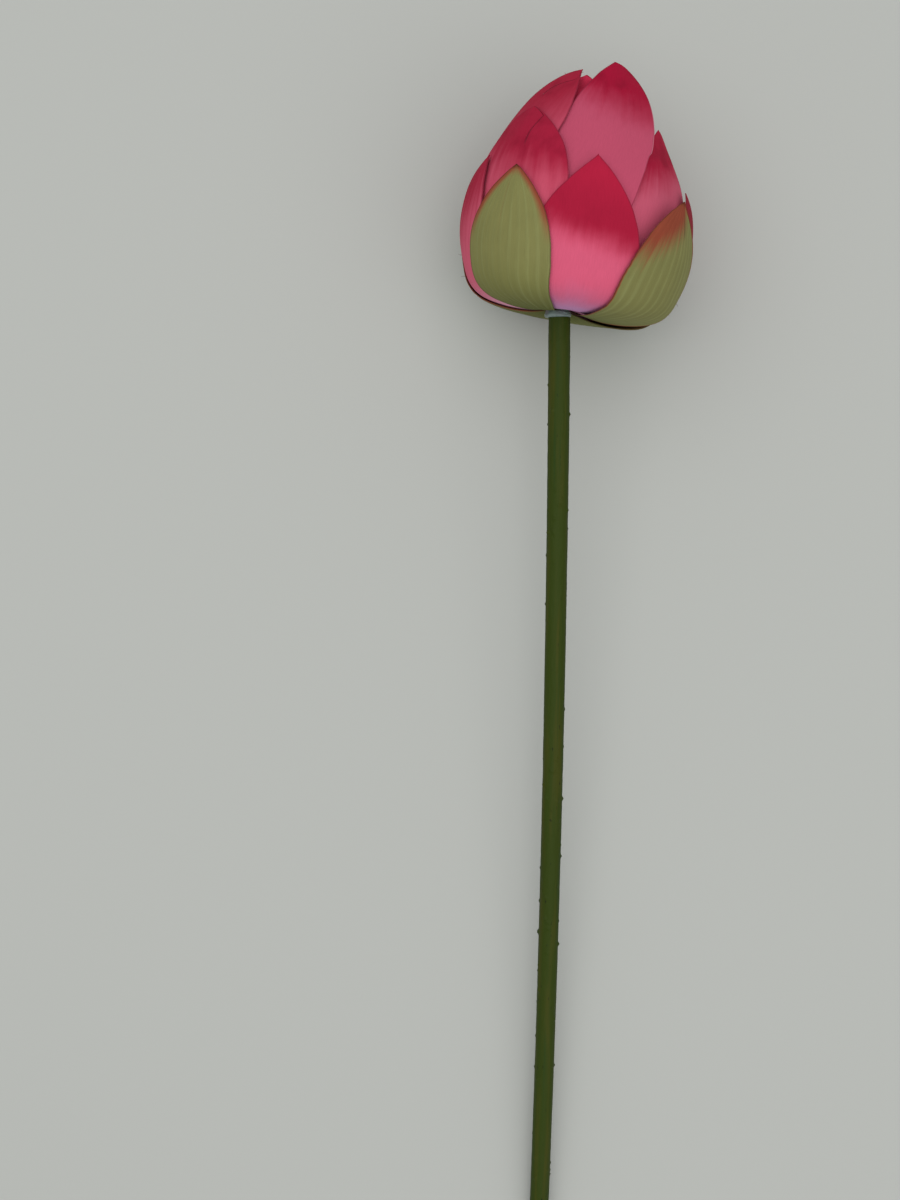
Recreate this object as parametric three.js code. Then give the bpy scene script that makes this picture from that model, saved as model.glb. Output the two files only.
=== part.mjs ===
// A lotus flower, cut: a closed bud of stiffened cloth petals on a foam core, at the end of a
// coated wire stem. It lies on its back, with the bud toward +Y and the surface at z = 0.
// Units are millimetres.

import * as THREE from 'three';
import { mergeVertices } from 'three/addons/utils/BufferGeometryUtils.js';

// ---- Driving dimensions -------------------------------------------------------------------

const STEM_LENGTH = 375; // coated length below the bud
const STEM_TOP_RADIUS = 4.15;
const STEM_END_RADIUS = 3.7;
const STEM_BOW = 6.5; // how far the stem's end bends toward -X
const STEM_SLOPE = THREE.MathUtils.degToRad(5.49); // the bud is fatter than the stem, so the stem slopes
const WIRE_RADIUS = 1.2;
const WIRE_BORE = 1.6; // radius of the hole around the wire
const WIRE_IN_CORE = 42;
const WIRE_SHOWN = 1.5; // bare wire at the cut end

const BUD_TURN = THREE.MathUtils.degToRad(9.3); // the bud nods toward +X
const BUD_OFFSET = 2.6; // the bud's middle lies beside the stem,
const OFFSET_REACH = 12; // reached over this arc length,
const BUD_LEAN = 0.048; // and drifts back by this much a millimetre
const BACK = THREE.MathUtils.degToRad(179); // azimuth that faces straight down in the end
const BACK_FLAT = THREE.MathUtils.degToRad(18); // half-angle of the side that the bud lies on
const FLAT_BLEND = 0.04;

const CLOTH = 0.5; // thickness of a petal
const LAYER = 1.05; // from one layer of petals to the next
const PETAL_START = 1; // arc length at which every petal begins, around the stem
const ROW = 8; // arc length between two rows of a petal
const ACROSS = 8; // facets across a petal
const TIP_HALF_WIDTH = 0.35;
const GLUE_GAP = 0.3; // between pieces that touch

// Radius and height of the innermost petals' middle surface, from the stem to the tip.
const GUIDE = [
  [4.5, 9.6], [14, 7.5], [24, 7.8], [32.2, 10.3], [35.6, 17], [37.7, 25], [38.2, 33], [37.2, 42],
  [34.6, 50.5], [31, 58], [26.9, 65.5], [22.2, 73], [17, 80], [11.4, 86.5], [5.6, 92], [1, 95.2],
];

// ---- Petals ---------------------------------------------------------------------------------
// layer: how many layers out; spread: the most half-angle around the stem, in degrees;
// az: the middle of the base, where 0 faces up and 90 faces +X; lean: how far the tip turns from it;
// reach: arc length from the stem to the tip; left and right: half-width in mm, where along the
// petal it is widest, and then how full it stays and how sharply it ends; lift: how far the tip
// stands off, and liftLeft and liftRight how far the sides do, with late saying how near the tip.

const SEPAL = { spread: 36 };
const OUTER = { spread: 38 };
const MIDDLE = { spread: 40 };
const INNER = { spread: 46 };

const PETALS = {
  sepal_front_left: {
    ...SEPAL, layer: 6, az: -47, lean: 9, reach: 65,
    left: [17.5, 0.55, 1.9, 1], right: [23, 0.55, 2.2, 0.8],
  },
  sepal_front_right: {
    spread: 39, layer: 6, az: 56, lean: -2, reach: 63,
    left: [26, 0.45, 2.15, 0.85], right: [23.5, 0.4, 2.2, 1.2],
    lift: 1,
  },
  sepal_back_right: {
    ...SEPAL, layer: 6, az: 150, lean: -4, reach: 62,
    left: [25, 0.46, 2, 0.9], right: [24, 0.46, 2, 0.8],
    liftLeft: 0.8, late: 1,
  },
  sepal_back_left: {
    spread: 39, layer: 6, az: -136, lean: 4, reach: 63,
    left: [28.5, 0.46, 2, 0.8], right: [26, 0.46, 2, 0.9],
  },

  outer_petal_front: {
    ...OUTER, layer: 5, az: 4, lean: -1.5, reach: 72,
    left: [24, 0.52, 1.75, 1.1], right: [19.5, 0.52, 2, 1],
  },
  outer_petal_left: {
    ...OUTER, layer: 5.2, az: -92, lean: 28, reach: 69.7,
    left: [24, 0.55, 2, 1.1], right: [17, 0.6, 2, 1.1],
    lift: -0.3, liftLeft: -0.6, late: 6,
  },
  outer_petal_right: {
    ...OUTER, layer: 5.1, az: 90, lean: -21, reach: 68.7,
    left: [22, 0.55, 2.1, 1], right: [24, 0.55, 2.1, 0.9],
    lift: -0.6,
  },
  outer_petal_back: {
    ...OUTER, layer: 5, az: -172, lean: 0, reach: 72,
    left: [24, 0.55, 2, 0.9], right: [24, 0.55, 2, 0.9],
  },

  middle_petal_front_left: {
    ...MIDDLE, layer: 4, az: -44, lean: -5, reach: 91,
    left: [16, 0.6, 4.5, 0.8], right: [28, 0.6, 1.9, 0.85],
    lift: 0.5,
  },
  middle_petal_back_left: {
    ...MIDDLE, layer: 4, az: -130, lean: 6, reach: 88,
    left: [25, 0.58, 2, 0.8], right: [22, 0.58, 2, 0.8],
  },
  middle_petal_back_right: {
    ...MIDDLE, layer: 4, az: 138, lean: -4, reach: 88,
    left: [25, 0.58, 2, 0.8], right: [25, 0.58, 2, 0.8],
  },
  middle_petal_front_right: {
    ...MIDDLE, layer: 0.9, az: 38, lean: 24, reach: 92,
    left: [15, 0.6, 2, 0.8], right: [15.8, 0.6, 2.3, 0.55],
    lift: 2.8, liftRight: 1.9, late: 2.6,
  },

  inner_petal_front: {
    ...INNER, layer: 2.1, az: -8, lean: 38, reach: 118,
    left: [19.5, 0.63, 2.3, 0.95], right: [17.5, 0.68, 1.5, 0.45],
    lift: 3, liftRight: 3, late: 4,
  },
  inner_petal_left: {
    ...INNER, layer: 3, az: -68, lean: 44, reach: 113,
    left: [18.2, 0.66, 2.5, 0.8], right: [17, 0.5, 1.95, 1.2],
    liftLeft: 0.95, late: 4,
  },
  inner_petal_middle: {
    ...INNER, layer: 0, az: -26, lean: 4, reach: 114.7,
    left: [20, 0.66, 2, 0.9], right: [20, 0.66, 2, 0.9],
  },
  inner_petal_right: {
    spread: 60, layer: 0, az: 108, lean: 0, reach: 112,
    left: [30, 0.66, 3, 0.9], right: [30, 0.66, 3, 0.9],
  },
  inner_petal_back: {
    spread: 56, layer: 0, az: -128, lean: 0, reach: 113,
    left: [30, 0.66, 3, 0.9], right: [30, 0.66, 3, 0.9],
  },
};

// ---- Finishes -------------------------------------------------------------------------------

const finish = (color, roughness, metalness = 0) =>
  () => new THREE.MeshStandardMaterial({ color, roughness, metalness });
const petalPink = finish(0xd3577a, 0.85);
const sepalGreen = finish(0x7c7b4b, 0.8);
const foamCrimson = finish(0x9c2040, 0.9);
const glueGrey = finish(0x8f9c9b, 0.3);
const stemGreen = finish(0x37431d, 0.55);
const wireSteel = finish(0x9a9a98, 0.35, 1);

function named(name, geometry, material) {
  const body = geometry.clone();
  body.deleteAttribute('normal');
  body.deleteAttribute('uv');
  const merged = mergeVertices(body, 1e-4);
  merged.computeVertexNormals();
  const mesh = new THREE.Mesh(merged, material());
  mesh.name = name;
  return mesh;
}

// ---- The bud's surface ------------------------------------------------------------------------

const guide = new THREE.SplineCurve(GUIDE.map(([r, h]) => new THREE.Vector2(r, h)));
const guideLength = guide.getLength();

// The bud is round but for its back, where a chord cuts the circle with a soft corner.
function backFlat(azimuth) {
  const fromBack = Math.acos(Math.cos(azimuth - BACK));
  if (fromBack > 2 * BACK_FLAT) return 1;
  const chord = Math.cos(BACK_FLAT) / Math.cos(fromBack);
  const share = THREE.MathUtils.clamp(0.5 + (1 - chord) / (2 * FLAT_BLEND), 0, 1);
  return 1 + (chord - 1) * share - FLAT_BLEND * share * (1 - share);
}

// Sideways place of the bud's middle: on the stem at its foot, beside it further out.
function sway(arc, height) {
  return BUD_OFFSET * (1 - Math.exp(-arc / OFFSET_REACH)) - BUD_LEAN * height;
}

function guidePoint(arc, outward) {
  const u = THREE.MathUtils.clamp(arc / guideLength, 0, 1);
  const point = guide.getPointAt(u);
  const along = guide.getTangentAt(u);
  return { radius: point.x + along.y * outward, height: point.y - along.x * outward };
}

function budPoint(arc, azimuth, outward) {
  const { radius, height } = guidePoint(arc, outward);
  const spoke = radius * backFlat(azimuth);
  return new THREE.Vector3(
    spoke * Math.sin(azimuth) + sway(arc, height), height, spoke * Math.cos(azimuth));
}

// ---- One petal ----------------------------------------------------------------------------------

const BASE_SHARE = 0.13; // of the half-width, at the stem
const TIP_LIFT_POWER = 12; // how late a tip begins to stand off
const SIDE_LIFT_LATE = 1.5;
const SPREAD_POWER = 8; // how sharply the half-angle is held to its spread

// Half-width of one side of a petal, at a share of the way to its tip.
function halfWidth([widest, where, fullness, sharpness], way) {
  if (way < where) {
    return widest * (BASE_SHARE + (1 - BASE_SHARE) * Math.sin((Math.PI / 2) * (way / where)));
  }
  const past = Math.min((way - where) / (1 - where), 1);
  return Math.max(widest * (1 - past ** fullness) ** sharpness, TIP_HALF_WIDTH);
}

// How far a place on a petal stands off from its layer.
function standOff(shape, across, way) {
  const side = across < 0 ? shape.liftLeft ?? 0 : shape.liftRight ?? 0;
  const belly = Math.sin(Math.PI * way ** (shape.late ?? SIDE_LIFT_LATE));
  return (shape.lift ?? 0) * way ** TIP_LIFT_POWER + side * across ** 2 * belly;
}

function petal(name, shape) {
  const rows = Math.round((shape.reach - PETAL_START) / ROW);
  const geometry = new THREE.BoxGeometry(2, rows, 1, ACROSS, rows, 1);
  const places = geometry.getAttribute('position');
  for (let i = 0; i < places.count; i++) {
    const across = places.getX(i); // -1 to 1
    const row = Math.round(places.getY(i) + rows / 2);
    const arc = row === rows ? shape.reach : PETAL_START + row * ROW;
    const way = (arc - PETAL_START) / (shape.reach - PETAL_START);
    const layer = shape.layer * LAYER;
    const radius = guidePoint(arc, 0).radius + layer;
    const width = halfWidth(across < 0 ? shape.left : shape.right, way);
    const most = THREE.MathUtils.degToRad(shape.spread) * radius;
    const held = (width ** -SPREAD_POWER + most ** -SPREAD_POWER) ** (-1 / SPREAD_POWER);
    const azimuth = THREE.MathUtils.degToRad(shape.az + shape.lean * way ** 2) + across * held / radius;
    const outward = layer + standOff(shape, across, way) + places.getZ(i) * CLOTH;
    const point = budPoint(arc, azimuth, outward);
    places.setXYZ(i, point.x, point.y, point.z);
  }
  return named(name, geometry, name.startsWith('sepal') ? sepalGreen : petalPink);
}

// ---- What the petals are glued to ---------------------------------------------------------------

const CORE_SEGMENTS = 16;
const CORE_UNDER = 0.925; // from the innermost petals' middle surface in to the core
const CORE_REACH = 100; // arc length at which the core's side ends
const CORE_TOP = 87;
const CORE_TOP_RADIUS = 6; // a small cap closes the core's top,
const CORE_TOP_FALL = 1.5; // and its rim is this much lower
const BORE_SPARE = 2; // the hole goes this much deeper than the wire

const GLUE_TOP = 9.6; // the glue fills the hole between the petals' feet up to here
const GLUE_NECK = 3.2; // radius of the glue in that hole
const GLUE_RADIUS = 5.2; // radius of the bulge under the petals
const GLUE_SHOULDER = 4.9;
const GLUE_SEGMENTS = 12;

const ROUNDING = 0.01;

// An egg of foam, bored from below for the wire.
function budCore() {
  const boreEnd = WIRE_IN_CORE + BORE_SPARE;
  const profile = [new THREE.Vector2(0, boreEnd), new THREE.Vector2(WIRE_BORE, boreEnd)];
  profile.push(new THREE.Vector2(WIRE_BORE, guidePoint(PETAL_START, -CORE_UNDER).height));
  for (let arc = PETAL_START; arc <= CORE_REACH; arc += ROW) {
    const { radius, height } = guidePoint(arc, -CORE_UNDER);
    profile.push(new THREE.Vector2(radius, height));
  }
  profile.push(new THREE.Vector2(CORE_TOP_RADIUS, CORE_TOP - CORE_TOP_FALL));
  profile.push(new THREE.Vector2(0, CORE_TOP));
  const geometry = new THREE.LatheGeometry(profile, CORE_SEGMENTS);
  const places = geometry.getAttribute('position');
  for (let i = 0; i < places.count; i++) {
    const [x, y, z] = [places.getX(i), places.getY(i), places.getZ(i)];
    const spoke = Math.hypot(x, z);
    if (y <= boreEnd && spoke <= WIRE_BORE + ROUNDING) continue; // the hole stays straight
    const flat = backFlat(Math.atan2(x, z));
    places.setXYZ(i, x * flat + sway(spoke, y), y, z * flat);
  }
  return named('bud_core', geometry, foamCrimson);
}

// Hot glue that fills the hole between the petals' feet and bulges under them, around the wire.
function glueCollar() {
  const foot = GLUE_GAP + STEM_TOP_RADIUS * Math.tan(BUD_TURN);
  const profile = [
    [WIRE_BORE, foot], [STEM_TOP_RADIUS, foot], [GLUE_RADIUS, foot + 0.4], [GLUE_SHOULDER, 2],
    [GLUE_NECK, 2.6], [GLUE_NECK, GLUE_TOP], [WIRE_BORE, GLUE_TOP], [WIRE_BORE, foot],
  ].map(([radius, height]) => new THREE.Vector2(radius, height));
  return named('glue_collar', new THREE.LatheGeometry(profile, GLUE_SEGMENTS), glueGrey);
}

// ---- The stem -----------------------------------------------------------------------------------

const SLEEVE_ROWS = 12;
const SLEEVE_SEGMENTS = 12;
const WIRE_STEPS = 30;
const WIRE_ARC_SEGMENTS = 4;

function stemBow(y) {
  return -STEM_BOW * (y / STEM_LENGTH) ** 2;
}

// A plastic sleeve over the wire, a little thinner toward its cut end.
function stemSleeve() {
  const rows = Array.from(
    { length: SLEEVE_ROWS + 1 }, (_, row) => -STEM_LENGTH * (1 - row / SLEEVE_ROWS));
  const outside = rows.map((y) => new THREE.Vector2(
    THREE.MathUtils.lerp(STEM_TOP_RADIUS, STEM_END_RADIUS, -y / STEM_LENGTH), y));
  const inside = rows.map((y) => new THREE.Vector2(WIRE_BORE, y)).reverse();
  const geometry = new THREE.LatheGeometry([...outside, ...inside, outside[0]], SLEEVE_SEGMENTS);
  const places = geometry.getAttribute('position');
  for (let i = 0; i < places.count; i++) places.setX(i, places.getX(i) + stemBow(places.getY(i)));
  return named('stem_sleeve', geometry, stemGreen);
}

// One wire from the cut end up into the core, bent where the bud nods.
function stemWire() {
  const below = [-STEM_LENGTH - WIRE_SHOWN, -300, -225, -150, -75, -40, -15];
  const above = [4, 20, WIRE_IN_CORE]; // the bend lies between the two lists
  const route = new THREE.CatmullRomCurve3([
    ...below.map((y) => new THREE.Vector3(stemBow(y), y, 0)),
    ...above.map((y) => new THREE.Vector3(y * Math.sin(BUD_TURN), y * Math.cos(BUD_TURN), 0)),
  ]);
  const section = new THREE.Shape().absarc(0, 0, WIRE_RADIUS, 0, 2 * Math.PI);
  const settings = { steps: WIRE_STEPS, extrudePath: route, curveSegments: WIRE_ARC_SEGMENTS };
  const geometry = new THREE.ExtrudeGeometry(section, settings);
  return named('stem_wire', geometry, wireSteel);
}

// ---- The whole flower, laid down -----------------------------------------------------------------

const bud = new THREE.Group();
for (const [name, shape] of Object.entries(PETALS)) bud.add(petal(name, shape));
bud.add(budCore(), glueCollar());
bud.rotation.z = -BUD_TURN;

const group = new THREE.Group();
const flower = new THREE.Group();
flower.add(bud, stemSleeve(), stemWire());
flower.rotation.x = STEM_SLOPE;
group.add(flower);

// The origin is the middle of the underside of the whole flower's box.
const box = new THREE.Box3().setFromObject(group, true);
const middle = box.getCenter(new THREE.Vector3());
flower.position.set(-middle.x, -middle.y, -box.min.z);

export default group;
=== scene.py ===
# %% [markdown]
# # A lotus bud on its stem
#
# This lesson builds an artificial lotus flower: a closed bud of dyed cloth petals, glued round a
# foam core at the end of a green plastic stem. The flower is cut and lies on its back, so
# everything here is made where it lies. Each step first says what the piece is on the real
# object, then makes it. Sizes are in millimetres unless they say otherwise.

# %% The frame
import bisect
import math
import random

import bmesh
import bpy
from mathutils import Matrix, Vector, noise
from mathutils.geometry import interpolate_bezier


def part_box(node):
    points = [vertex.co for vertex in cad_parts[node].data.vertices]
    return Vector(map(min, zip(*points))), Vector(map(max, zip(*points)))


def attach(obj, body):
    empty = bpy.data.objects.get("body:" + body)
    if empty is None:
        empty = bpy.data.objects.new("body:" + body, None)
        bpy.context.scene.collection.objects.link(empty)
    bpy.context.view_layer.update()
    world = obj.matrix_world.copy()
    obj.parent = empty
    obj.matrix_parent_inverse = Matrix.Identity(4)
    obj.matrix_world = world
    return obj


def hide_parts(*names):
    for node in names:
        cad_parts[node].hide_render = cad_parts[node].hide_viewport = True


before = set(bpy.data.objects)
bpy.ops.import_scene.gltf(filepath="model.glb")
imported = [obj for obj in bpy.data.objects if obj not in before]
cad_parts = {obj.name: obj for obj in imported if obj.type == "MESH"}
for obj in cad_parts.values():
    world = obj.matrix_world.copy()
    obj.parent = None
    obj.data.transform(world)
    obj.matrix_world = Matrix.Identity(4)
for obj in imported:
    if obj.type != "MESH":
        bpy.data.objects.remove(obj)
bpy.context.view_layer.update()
MM = 0.001

# %% [markdown]
# ## Where the flower lies
#
# The flower was laid out with its stem along Y and its bud nodding to one side, and then tipped a
# little so that both the fat bud and the thin stem touch the table. Two matrices hold this, one
# for the stem and one for the bud. They turn sizes in millimetres in the flower's own directions
# into places in metres. The stem's own box in the frame says where the top of the stem is.

# %% The flower's own directions
STEM_LENGTH = 375
STEM_TOP_RADIUS = 4.15
STEM_END_RADIUS = 3.7
STEM_BOW = 6.5  # how far the stem's end bends toward -X
STEM_SLOPE = math.radians(5.49)
BUD_TURN = math.radians(9.3)  # how far the bud nods toward +X
BUD_MIDDLE_HEIGHT = 45

_, sleeve_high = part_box("stem_sleeve")
stem_top = Vector(sleeve_high) - STEM_TOP_RADIUS * MM * Vector(
    (1, math.sin(STEM_SLOPE), math.cos(STEM_SLOPE))
)
stem_place = (
    Matrix.Translation(stem_top) @ Matrix.Rotation(STEM_SLOPE, 4, "X") @ Matrix.Scale(MM, 4)
)
bud_place = stem_place @ Matrix.Rotation(-BUD_TURN, 4, "Z")
bud_middle = bud_place @ Vector((0, BUD_MIDDLE_HEIGHT, 0))
print("top of the stem, mm:", [round(c / MM, 1) for c in stem_top])

# %% [markdown]
# ## The camera
#
# The camera looks straight down on the bud and the stem from a little over half a metre. A 45 mm
# lens on the default 36 mm sensor shows what a person sees who leans over the table.

# %% Camera
CAMERA_FROM_STEM_TOP = Vector((-41.6, -107.2, 570)) * MM

camera_data = bpy.data.cameras.new("camera")
camera_data.lens = 45
camera_data.sensor_width = 36
camera = bpy.data.objects.new("camera", camera_data)
camera.location = stem_top + CAMERA_FROM_STEM_TOP
bpy.context.collection.objects.link(camera)
bpy.context.scene.camera = camera
print("camera at, mm:", [round(c / MM) for c in camera.location])

# %% [markdown]
# ## Mixing materials
#
# The dye could be painted as an image, but that needs a file and blurs close up. So every finish is
# procedural: a few noise textures, soft steps and colour mixes, joined by the small helpers below.
# A colour is given as it looks on a screen. Patterns on the cloth and the stem run over each
# piece's own UV map, so that dye streaks follow the cloth wherever it bends.

# %% Helpers for materials
def colour(red, green, blue):
    """A colour mixed on a screen, 0 to 255, as the linear values that a shader takes."""
    def linear(channel):
        share = channel / 255
        return share / 12.92 if share <= 0.04045 else ((share + 0.055) / 1.055) ** 2.4

    return (linear(red), linear(green), linear(blue), 1)


def new_material(name, roughness, **uniform):
    """uniform holds what is the same all over, such as Sheen_Weight, set on the shader itself."""
    material = bpy.data.materials.new(name)
    material.use_nodes = True
    tree = material.node_tree
    shader = tree.nodes["Principled BSDF"]
    shader.inputs["Roughness"].default_value = roughness
    for socket, value in uniform.items():
        shader.inputs[socket.replace("_", " ")].default_value = value
    return material, tree, shader


def add_node(tree, kind, sockets, **settings):
    """A new node. Each socket is given a value, or is linked to another node's socket."""
    node = tree.nodes.new(kind)
    for name, value in settings.items():
        setattr(node, name, value)
    for key, value in sockets.items():
        if isinstance(value, bpy.types.NodeSocket):
            tree.links.new(value, node.inputs[key])
        else:
            node.inputs[key].default_value = value
    return node


def calculate(tree, operation, *values):
    sockets = dict(enumerate(values))
    return add_node(tree, "ShaderNodeMath", sockets, operation=operation).outputs[0]


def product(tree, first, *others):
    for other in others:
        first = calculate(tree, "MULTIPLY", first, other)
    return first


def combine(tree, *values):
    return add_node(tree, "ShaderNodeCombineXYZ", dict(enumerate(values))).outputs[0]


def uv_parts(tree, uv_map):
    uv = add_node(tree, "ShaderNodeUVMap", {}, uv_map=uv_map).outputs["UV"]
    parts = add_node(tree, "ShaderNodeSeparateXYZ", {"Vector": uv})
    return parts.outputs["X"], parts.outputs["Y"]


def soft_step(tree, value, start, full):
    """0 before start and 1 past full, softly. It falls instead where start is the larger one."""
    sockets = {"Value": value, "From Min": start, "From Max": full}
    node = add_node(tree, "ShaderNodeMapRange", sockets, interpolation_type="SMOOTHSTEP")
    return node.outputs["Result"]


def mix_colours(tree, share, first, second, blend="MIX"):
    """The Mix node numbers its colour sockets: 0 is the share, and 6 and 7 are the two colours."""
    sockets = {0: share, 6: first, 7: second}
    node = add_node(tree, "ShaderNodeMix", sockets, data_type="RGBA", blend_type=blend)
    return node.outputs[2]


def stain(tree, tint, mask, strength, dye):
    """Mixes a dye into the tint, at that strength where the mask is 1."""
    return mix_colours(tree, product(tree, mask, strength), tint, colour(*dye))


def shade(tree, tint, light):
    return mix_colours(tree, 1.0, tint, combine(tree, light, light, light), blend="MULTIPLY")


def cloud(tree, place, scale=1.0, detail=3.0, roughness=0.5):
    """Soft random clouds from 0 to 1."""
    sockets = {"Vector": place, "Scale": scale, "Detail": detail, "Roughness": roughness}
    return add_node(tree, "ShaderNodeTexNoise", sockets).outputs["Fac"]


def stretched(tree, across, along, across_scale, along_scale, seed):
    """A place for a cloud that is stretched along the cloth, so that it makes streaks."""
    return combine(
        tree,
        product(tree, across, across_scale),
        product(tree, along, along_scale),
        seed,
    )


def raise_surface(tree, shader, height, distance):
    sockets = {"Height": height, "Strength": 1.0, "Distance": distance}
    normal = add_node(tree, "ShaderNodeBump", sockets).outputs["Normal"]
    tree.links.new(normal, shader.inputs["Normal"])


print("helpers ready")

# %% [markdown]
# ## Table and light
#
# A plain pale surface and soft light let the dyed cloth speak for itself. One big soft lamp hangs
# over the bud, a second fills from the other side, and a pale world fills the shadows. The
# standard view transform keeps the colours as they are mixed.

# %% Table, lamps and world
scene = bpy.context.scene
scene.view_settings.view_transform = "Standard"


def new_object(name, bm):
    mesh = bpy.data.meshes.new(name)
    bm.to_mesh(mesh)
    bm.free()
    piece = bpy.data.objects.new(name, mesh)
    bpy.context.collection.objects.link(piece)
    return piece


TABLE_HALF_WIDTH = 4
table_bm = bmesh.new()
bmesh.ops.create_grid(table_bm, x_segments=1, y_segments=1, size=TABLE_HALF_WIDTH)
table = new_object("table", table_bm)
table_finish, _, table_shader = new_material("pale_table", 0.9)
table_shader.inputs["Base Color"].default_value = colour(184, 185, 179)
table.data.materials.append(table_finish)


def lamp(name, from_bud, size, power):
    """A round soft lamp that hangs at from_bud, in metres from the bud's middle, and faces it."""
    data = bpy.data.lights.new(name, "AREA")
    data.shape = "DISK"
    data.size = size
    data.energy = power
    lamp_object = bpy.data.objects.new(name, data)
    lamp_object.location = bud_middle + Vector(from_bud)
    lamp_object.rotation_mode = "QUATERNION"
    away = lamp_object.location - bud_middle
    lamp_object.rotation_quaternion = away.to_track_quat("Z", "Y")
    bpy.context.collection.objects.link(lamp_object)


lamp("key_lamp", from_bud=(-0.3, 0.15, 1.25), size=1.8, power=8.6)
lamp("fill_lamp", from_bud=(0.5, -0.6, 1.1), size=1.5, power=4.2)
world = bpy.data.worlds.new("studio")
world.use_nodes = True
background = world.node_tree.nodes["Background"]
background.inputs["Color"].default_value = (0.94, 0.97, 1.0, 1)
background.inputs["Strength"].default_value = 0.56
scene.world = world

# %% [markdown]
# ## The bud's surface
#
# Cloth petals are cut flat and then pressed over a warm former, and here they lie round a foam
# egg, one layer over the next. So every petal is a flat grid bent onto one surface of revolution.
# Sculpting or a cloth simulation could shape them too, but petals that lie this close would soon
# cut through each other, while layers on one surface stay apart. The guide is that surface's
# outline, from the stem out and up to the tip. A point of a petal is given by how far along the
# guide it is, by its angle round the bud, and by how far outward its layer lies.

# %% The guide and the bent places on it
LAYER = 1.05  # from one layer of petals to the next
PETAL_START = 1  # how far along the guide every petal begins
BUD_OFFSET = 2.6  # how far the bud is glued on beside the stem's middle
OFFSET_REACH = 12  # how softly it gets there, along the guide
BUD_LEAN = 0.048  # how far it leans back from there, for each millimetre up
BACK = math.radians(179)  # the angle round the bud that faces the table
BACK_FLAT = math.radians(18)  # half-angle of the flat side, on which the bud lies
FLAT_BLEND = 0.04  # how softly the flat side runs into the round
GUIDE = [  # radius and height
    (4.5, 9.6), (14, 7.5), (24, 7.8), (32.2, 10.3), (35.6, 17), (37.7, 25), (38.2, 33), (37.2, 42),
    (34.6, 50.5), (31, 58), (26.9, 65.5), (22.2, 73), (17, 80), (11.4, 86.5), (5.6, 92), (1, 95.2),
]


def smooth_route(points, steps=24):
    """Points close together on a smooth curve through the given ones."""
    padded = [points[0], *points, points[-1]]
    route = []
    for before, start, end, after in zip(padded, padded[1:], padded[2:], padded[3:]):
        leave = start + (end - before) / 6
        arrive = end - (after - start) / 6
        route += interpolate_bezier(start, leave, arrive, end, steps + 1)[:-1]
    return route + [points[-1]]


guide_route = smooth_route([Vector((radius, height, 0)) for radius, height in GUIDE])
guide_arcs = [0.0]
for start, end in zip(guide_route, guide_route[1:]):
    guide_arcs.append(guide_arcs[-1] + (end - start).length)


def guide_point(arc, outward):
    """Radius and height on the guide, and then straight out from it."""
    index = min(max(bisect.bisect_right(guide_arcs, arc), 1), len(guide_arcs) - 1)
    start, end = guide_route[index - 1], guide_route[index]
    share = (arc - guide_arcs[index - 1]) / (guide_arcs[index] - guide_arcs[index - 1])
    along = (end - start).normalized()
    place = start.lerp(end, min(max(share, 0), 1))
    return place.x + along.y * outward, place.y - along.x * outward


def back_flat(azimuth):
    """The bud is round but for the side that it lies on, where a chord cuts the circle."""
    from_back = math.acos(max(-1, min(1, math.cos(azimuth - BACK))))
    if from_back > 2 * BACK_FLAT:
        return 1
    chord = math.cos(BACK_FLAT) / math.cos(from_back)
    share = max(0, min(1, 0.5 + (1 - chord) / (2 * FLAT_BLEND)))
    return 1 + (chord - 1) * share - FLAT_BLEND * share * (1 - share)


def bud_point(arc, azimuth, outward):
    radius, height = guide_point(arc, outward)
    spoke = radius * back_flat(azimuth)
    sway = BUD_OFFSET * (1 - math.exp(-arc / OFFSET_REACH)) - BUD_LEAN * height
    return Vector((spoke * math.sin(azimuth) + sway, height, spoke * math.cos(azimuth)))


print("guide length, mm:", round(guide_arcs[-1], 1))

# %% [markdown]
# ## Petals
#
# The bud has seventeen pieces of cloth in four rings: green sepals outside, then short outer
# petals, middle petals, and tall inner petals that close the tip. They differ only in size, place
# and outline, so one table and one function make them all. An outline is a sine from the foot to
# the widest place, and from there a curve that stays full and then drops to the tip. Its left and
# right sides are told apart, because real petals are cut by a worn die and glued by hand. Some
# petals stand off from their layer at a side or at the tip, some are creased where they were
# pressed, and the cut edges are ragged.

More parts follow.
